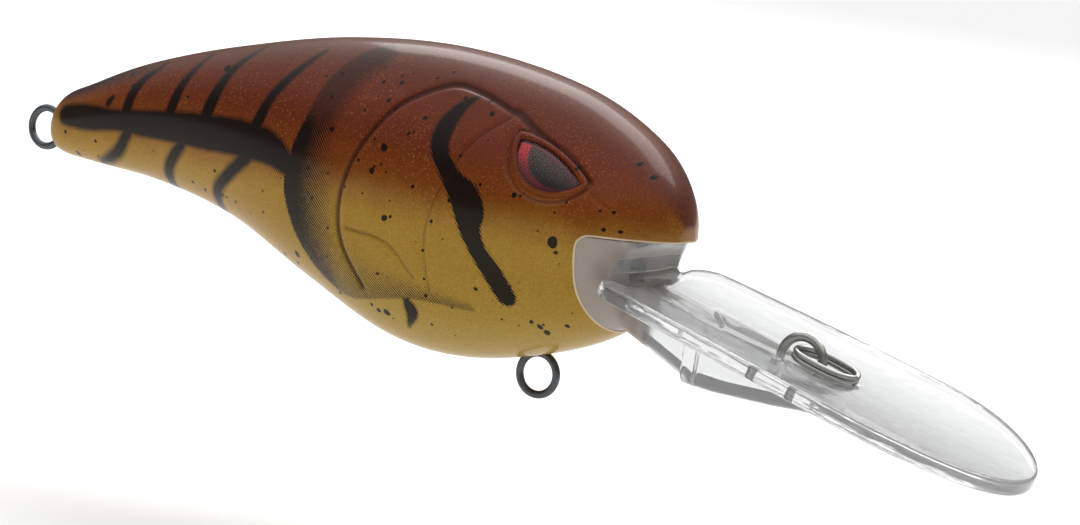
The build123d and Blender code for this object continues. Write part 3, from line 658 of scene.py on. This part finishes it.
def bill_material():
    """Clear polycarbonate, grey and less clear where it fills the mouth: painted shade for the dark hollow of
    the body seen through it.
    """
    g = Graph("clear_polycarbonate")
    throat_shade = g.attribute("throat_shade")
    cloud = g.math("ADD", 0.92, g.math("MULTIPLY", g.noise(0.5), 0.16))
    # Painted shade: warm grey standing in for the dark hollow seen through the throat.
    grey = g.mix(1.0, rgb(156, 144, 134),
                 g.node("ShaderNodeCombineColor", {0: cloud, 1: cloud, 2: cloud}).outputs[0], "MULTIPLY")
    waves = g.node("ShaderNodeTexNoise", {"Vector": g.place(), "Scale": 0.35, "Detail": 2.0}).outputs["Fac"]
    return g.set(Base_Color=g.mix(throat_shade, rgb(222, 223, 223), grey), IOR=1.46,
                 Roughness=g.math("ADD", 0.05, g.math("MULTIPLY", throat_shade, 0.2)),
                 Transmission_Weight=g.ramp(throat_shade, 0.0, 1.0, 0.84, 0.12),
                 Normal=g.bump(waves, 0.00012, 0.35))


def clear_bill():
    points, quads = surface_nets(bill_field, (-6.5, -10.4, -6.5), (32.6, 10.4, 3.8), 0.17)
    bill = new_mesh("clear_bill", from_bill(points), quads)
    x, y, z = from_bill(points).T
    s, _, n = points.T
    on_plate = (s > -0.3) & (n > -1.6) & (n < 1.6) & (x > 7.4)
    # Painted shade: the throat below the plate is greyed, for the dark hollow of the body seen through the
    # clear plastic.
    throat_shade = np.where(on_plate, 0, smoothstep(9.2, 8.0, x) * smoothstep(2.9, 3.6, z + np.abs(y)))
    write_attribute(bill.data, "throat_shade", throat_shade)
    bill.data.polygons.foreach_set("use_smooth", [True] * len(bill.data.polygons))
    bill.data.materials.append(bill_material())
    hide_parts("diving_bill")
    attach(bill, "body")


clear_bill()


# ---------------------------------------------------------------- eyes
def flank_y(x, z):
    middle, half_height, half_width = section_at(x)
    return half_width * np.sqrt(np.maximum(1 - ((z - middle) / half_height) ** 2, 0))


def eye_place(u, v, height):
    """Points of the left eye from its own frame: along the chord, up, and out of the flank."""
    nudge, tilt = 0.05, EYE_TILT
    y = flank_y(EYE_X, EYE_Z)
    lean_x = (flank_y(EYE_X + nudge, EYE_Z) - y) / nudge
    lean_z = (flank_y(EYE_X, EYE_Z + nudge) - y) / nudge
    out = np.array([-lean_x, 1, -lean_z])
    ahead = np.array([math.cos(tilt), lean_x * math.cos(tilt) - lean_z * math.sin(tilt), -math.sin(tilt)])
    out, ahead = out / np.linalg.norm(out), ahead / np.linalg.norm(ahead)
    up = np.cross(ahead, out)
    return (np.array([EYE_X, y, EYE_Z]) + np.multiply.outer(u, ahead) + np.multiply.outer(v, up)
            + np.multiply.outer(height, out))


def eye_outline(offset, parts):
    """Half-moon outline in the eye's frame, grown by an offset."""
    (top, top_radius), (low, low_radius) = arc_centre(EYE_RISE), arc_centre(-EYE_DROP)
    turn = np.linspace(0, 2 * math.pi, parts, endpoint=False)
    near, far = np.zeros(parts), np.full(parts, 5.0)
    for _ in range(40):
        reach = (near + far) / 2
        u, v = reach * np.cos(turn), -0.8 + reach * np.sin(turn)
        away = np.maximum(np.hypot(u, v - top) - top_radius, np.hypot(u, v - low) - low_radius) - offset
        near, far = np.where(away < 0, reach, near), np.where(away < 0, far, reach)
    for _ in range(3):
        u, v = (np.roll(u, 1) + 2 * u + np.roll(u, -1)) / 4, (np.roll(v, 1) + 2 * v + np.roll(v, -1)) / 4
    return u, v


def eye_foil(side, sign, material):
    """Crowned foil just under the dome's face, carrying the pupil."""
    parts, rings = 120, 14
    u, v = eye_outline(-0.09, parts)
    share = np.sqrt(np.linspace(1, 0.02, rings))
    u, v = (share[:, None] * u).ravel(), (-0.8 + share[:, None] * (v + 0.8)).ravel()
    crown = np.sqrt(EYE_CROWN ** 2 - u ** 2 - v ** 2) - EYE_CROWN + EYE_PROUD
    points = eye_place(u, v, crown - 0.10)
    points[:, 1] *= sign
    i, j = np.meshgrid(np.arange(rings - 1), np.arange(parts), indexing="ij")
    k = (j + 1) % parts
    quads = np.stack([i * parts + j, i * parts + k, (i + 1) * parts + k, (i + 1) * parts + j],
                     -1).reshape(-1, 4)
    foil = new_mesh("eye_foil_domed_" + side, points, quads if sign > 0 else quads[:, ::-1])
    shaped = bmesh.new()
    shaped.from_mesh(foil.data)
    shaped.verts.ensure_lookup_table()
    inner = [shaped.verts[(rings - 1) * parts + n] for n in range(parts)]
    shaped.faces.new(inner if sign > 0 else inner[::-1])
    skirt = bmesh.ops.extrude_edge_only(shaped, edges=[e for e in shaped.edges if e.is_boundary])
    drop = (eye_place(0.0, 0.0, 0.0) - eye_place(0.0, 0.0, 0.35)) * MM
    for vert in [item for item in skirt["geom"] if isinstance(item, bmesh.types.BMVert)]:
        vert.co += Vector((drop[0], sign * drop[1], drop[2]))
    bmesh.ops.holes_fill(shaped, edges=[e for e in shaped.edges if e.is_boundary], sides=0)
    bmesh.ops.recalc_face_normals(shaped, faces=shaped.faces[:])
    shaped.to_mesh(foil.data)
    shaped.free()
    co = points_of(foil.data)
    co[:, 1] *= sign
    base = eye_place(0.0, 0.0, 0.0)
    write_attribute(foil.data, "eye_u", (co - base) @ (eye_place(1.0, 0.0, 0.0) - base))
    write_attribute(foil.data, "eye_v", (co - base) @ (eye_place(0.0, 1.0, 0.0) - base))
    smooth_by_angle(foil, 40)
    foil.data.materials.append(material)
    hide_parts("eye_foil_" + side)
    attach(foil, "body")


def eye_rim(side, sign, paint):
    """Moulded bead round the eye, lying on the flank."""
    bead, parts = 0.26, 140
    x, _, z = eye_place(*eye_outline(0.2, parts), np.zeros(parts)).T
    y = flank_y(x, z) - 0.10
    middle, half_height, half_width = section_at(x)
    path = np.stack([x, sign * y, z], -1)
    out = np.stack([np.zeros(parts), sign * y / half_width ** 2, (z - middle) / half_height ** 2], -1)
    out /= np.linalg.norm(out, axis=1)[:, None]
    ahead = np.roll(path, -1, 0) - np.roll(path, 1, 0)
    ahead /= np.linalg.norm(ahead, axis=1)[:, None]
    beside = np.cross(ahead, out)
    around = np.arange(16) * math.pi / 8
    points = (path[:, None] + bead * np.cos(around)[None, :, None] * beside[:, None]
              + 0.82 * bead * np.sin(around)[None, :, None] * out[:, None])
    i, j = np.meshgrid(np.arange(parts), np.arange(16), indexing="ij")
    k, m = (i + 1) % parts, (j + 1) % 16
    quads = np.stack([i * 16 + j, k * 16 + j, k * 16 + m, i * 16 + m], -1).reshape(-1, 4)
    rim = new_mesh("eye_rim_" + side, points.reshape(-1, 3), quads)
    shaped = bmesh.new()
    shaped.from_mesh(rim.data)
    bmesh.ops.recalc_face_normals(shaped, faces=shaped.faces[:])
    shaped.to_mesh(rim.data)
    shaped.free()
    paint_attributes(rim)
    rim.data.attributes["outside"].data.foreach_set("value", np.ones(len(rim.data.vertices), np.float32))
    rim.data.attributes["groove"].data.foreach_set("value", np.full(len(rim.data.vertices), 0.03, np.float32))
    rim.data.attributes["ink"].data.foreach_set("value", np.zeros(len(rim.data.vertices), np.float32))
    rim.data.polygons.foreach_set("use_smooth", [True] * len(rim.data.polygons))
    rim.data.materials.append(paint)
    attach(rim, "body")


for side, sign in (("left", 1), ("right", -1)):
    eye_rim(side, sign, bpy.data.materials["lure_paint"])


def foil_material():
    """Red metallic foil with a half-moon pupil and a painted highlight along its upper edge, drawn in the
    eye's own frame.
    """
    g = Graph("eye_foil")
    u, v = g.attribute("eye_u"), g.attribute("eye_v")

    def from_circle(centre_u, centre_v, radius):
        a = g.math("POWER", g.math("SUBTRACT", u, centre_u), 2.0)
        b = g.math("POWER", g.math("SUBTRACT", v, centre_v), 2.0)
        return g.math("SUBTRACT", g.math("SQRT", g.math("ADD", a, b)), radius)

    (top, top_radius), (low, low_radius) = arc_centre(EYE_RISE), arc_centre(-EYE_DROP)
    from_top, from_low = from_circle(0, top, top_radius), from_circle(0, low, low_radius)
    outline = g.math("MAXIMUM", from_top, from_low)
    pupil = g.math("MAXIMUM", g.math("ADD", from_top, 0.24), from_circle(0.55, 0.8, 2.5))
    red = g.mix(g.ramp(g.math("ADD", v, g.math("MULTIPLY", u, -0.35)), -1.6, 0.9),
                rgb(92, 8, 18), rgb(176, 20, 26))
    red = g.mix(g.ramp(g.math("ADD", v, g.math("MULTIPLY", u, -0.2)), 0.1, 0.9), red, rgb(172, 72, 80))
    dark = g.mix(g.ramp(v, -1.7, 0.5), rgb(6, 2, 1), rgb(64, 44, 38))
    streaks = g.node("ShaderNodeTexNoise", {"Vector": g.place(), "Scale": 3.0, "Detail": 3.0}).outputs["Fac"]
    eye = g.mix(g.ramp(pupil, 0.10, -0.08), red, dark)
    # Painted highlight: a pink line along the pupil's upper edge.
    pupil_highlight = g.math("MULTIPLY", g.ramp(g.math("ABSOLUTE", g.math("ADD", from_top, 0.20)), 0.09, 0.0),
                   g.ramp(u, -2.4, -1.0))
    eye = g.mix(g.math("MULTIPLY", pupil_highlight, 0.8), eye, rgb(196, 104, 110))
    eye = g.mix(g.ramp(outline, -0.36, -0.14), eye, rgb(62, 5, 9))
    return g.set(Base_Color=eye, Metallic=0.25,
                 Roughness=g.math("ADD", 0.25, g.math("MULTIPLY", streaks, 0.15)),
                 Normal=g.bump(streaks, 0.00001, 0.3))


def dome_material():
    g = Graph("clear_dome")
    ripple = g.node("ShaderNodeTexNoise", {"Vector": g.place(), "Scale": 0.8, "Detail": 1.0}).outputs["Fac"]
    return g.set(Base_Color=(0.99, 0.97, 0.97, 1), Roughness=0.02, IOR=1.16, Transmission_Weight=1.0,
                 Normal=g.bump(ripple, 0.00001, 0.2))


# ---------------------------------------------------------------- wires, weights and balls
def wire_material(name, tone, roughness):
    g = Graph(name)
    streaks = g.node("ShaderNodeTexNoise", {"Vector": g.place(), "Scale": 6.0, "Detail": 4.0}).outputs["Fac"]
    return g.set(Base_Color=g.mix(streaks, rgb(*[0.75 * c for c in tone]), rgb(*tone)), Metallic=1.0,
                 Roughness=g.math("ADD", roughness, g.math("MULTIPLY", streaks, 0.12)),
                 Normal=g.bump(streaks, 0.00002, 0.4))


def finish_node(name, material):
    mesh = nodes[name].data
    mesh.materials.clear()
    mesh.materials.append(material)


def split_ring():
    """Oval ring of two turns of wire, lapped at the ends and lying on the bill."""
    wire, long, wide, middle, parts = 0.42, 5.2, 4.0, 15.357, 260
    turn = np.linspace(0, 4 * math.pi, parts)
    straight = (long - wide) / 2
    bend = (wide - wire) / 2
    s = middle + bend * np.sign(np.cos(turn)) * np.abs(np.cos(turn)) + straight * np.tanh(3 * np.cos(turn))
    y = bend * np.sin(turn)
    rise = wire * np.clip((turn - 2 * math.pi + 0.5) / 1.0, 0, 1)
    n = 0.1 + wire / 2 + 0.06 * wire + 0.94 * rise
    path = from_bill(np.stack([s, y, n], -1))
    curve = bpy.data.curves.new("split_ring_wire", "CURVE")
    curve.dimensions, curve.bevel_depth, curve.bevel_resolution = "3D", wire / 2 * MM, 5
    curve.use_fill_caps = True
    line = curve.splines.new("POLY")
    line.points.add(parts - 1)
    for point, place in zip(line.points, path):
        point.co = (*(place * MM), 1)
    loose = bpy.data.objects.new("loose", curve)
    bpy.context.scene.collection.objects.link(loose)
    depsgraph = bpy.context.evaluated_depsgraph_get()
    mesh = bpy.data.meshes.new_from_object(loose.evaluated_get(depsgraph))
    bpy.data.objects.remove(loose)
    ring = bpy.data.objects.new("split_ring_coil", mesh)
    bpy.context.scene.collection.objects.link(ring)
    mesh.polygons.foreach_set("use_smooth", [True] * len(mesh.polygons))
    mesh.materials.clear()
    mesh.materials.append(bpy.data.materials["tie_wire"])
    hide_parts("line_tie_split_ring")
    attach(ring, "split_ring")


hanger_wire = wire_material("hanger_wire", (96, 99, 102), 0.3)
tie_wire = wire_material("tie_wire", (168, 168, 164), 0.24)
ball_steel = wire_material("ball_steel", (225, 226, 228), 0.12)
dull_metal = wire_material("dull_ballast", (120, 120, 122), 0.5)
foil, dome = foil_material(), dome_material()
for name, material in (("belly_hook_hanger", hanger_wire), ("tail_hook_hanger", hanger_wire),
                       ("line_tie_staple", tie_wire), ("rattle_ball_front", ball_steel),
                       ("rattle_ball_middle", ball_steel), ("rattle_ball_rear", ball_steel),
                       ("tail_rattle_ball", ball_steel), ("ballast_slug_front", dull_metal),
                       ("ballast_slug_rear", dull_metal), ("knocker_weight", dull_metal),
                       ("eye_dome_left", dome), ("eye_dome_right", dome)):
    finish_node(name, material)
for side, sign in (("left", 1), ("right", -1)):
    eye_foil(side, sign, foil)
split_ring()


# ---------------------------------------------------------------- camera, floor and light
def look_from(place, right, up, back):
    camera = bpy.data.cameras.new("camera")
    camera.lens, camera.sensor_width = 100, 36
    camera.clip_start, camera.clip_end = 0.01, 20
    made = bpy.data.objects.new("camera", camera)
    bpy.context.scene.collection.objects.link(made)
    turn = Matrix((right, up, back)).transposed().to_4x4()
    made.matrix_world = Matrix.Translation(Vector(place) * MM) @ turn
    bpy.context.scene.camera = made


look_from((106.16, -191.64, 38.13), (0.8554, 0.5, 0.1355), (-0.1847, 0.05, 0.9815), (0.4840, -0.8646, 0.1351))


def area_light(name, place, target, size, power):
    light = bpy.data.lights.new(name, "AREA")
    light.shape, light.size, light.size_y = "RECTANGLE", size[0], size[1]
    light.energy = power
    made = bpy.data.objects.new(name, light)
    bpy.context.scene.collection.objects.link(made)
    made.location = Vector(place)
    made.rotation_euler = (Vector(place) - Vector(target)).to_track_quat("Z", "Y").to_euler()


FLOOR_DROP = 0.012
floor = new_mesh("floor", [(-3, -3, 0), (3, -3, 0), (3, 3, 0), (-3, 3, 0)], [(0, 1, 2, 3)], 1.0)
floor.location.z = cad_box[0][2] - FLOOR_DROP
pale = Graph("pale_floor")
floor.data.materials.append(pale.set(Base_Color=(0.8, 0.8, 0.8, 1), Roughness=0.9, Specular_IOR_Level=0.0))


def studio_world():
    """Bright overhead dome above a dim band at the horizon."""
    world = bpy.data.worlds.new("studio")
    world.use_nodes = True
    tree = world.node_tree
    direction = tree.nodes.new("ShaderNodeTexCoord").outputs["Generated"]
    split = tree.nodes.new("ShaderNodeSeparateXYZ")
    tree.links.new(direction, split.inputs[0])
    climb = tree.nodes.new("ShaderNodeMapRange")
    climb.interpolation_type = "SMOOTHSTEP"
    tree.links.new(split.outputs[2], climb.inputs[0])
    for socket, value in zip(climb.inputs[1:5], (0.25, 0.75, HORIZON, ZENITH)):
        socket.default_value = value
    tree.links.new(climb.outputs[0], tree.nodes["Background"].inputs[1])
    tree.nodes["Background"].inputs[0].default_value = (1, 1, 1, 1)
    bpy.context.scene.world = world


HORIZON, ZENITH = 0.16, 1.5
studio_world()
centre = (-0.005, 0, 0.01)
area_light("back_softbox", (-0.05, 0.5, 0.55), centre, (1.0, 0.3), 5)
bpy.context.scene.view_settings.view_transform = "Standard"
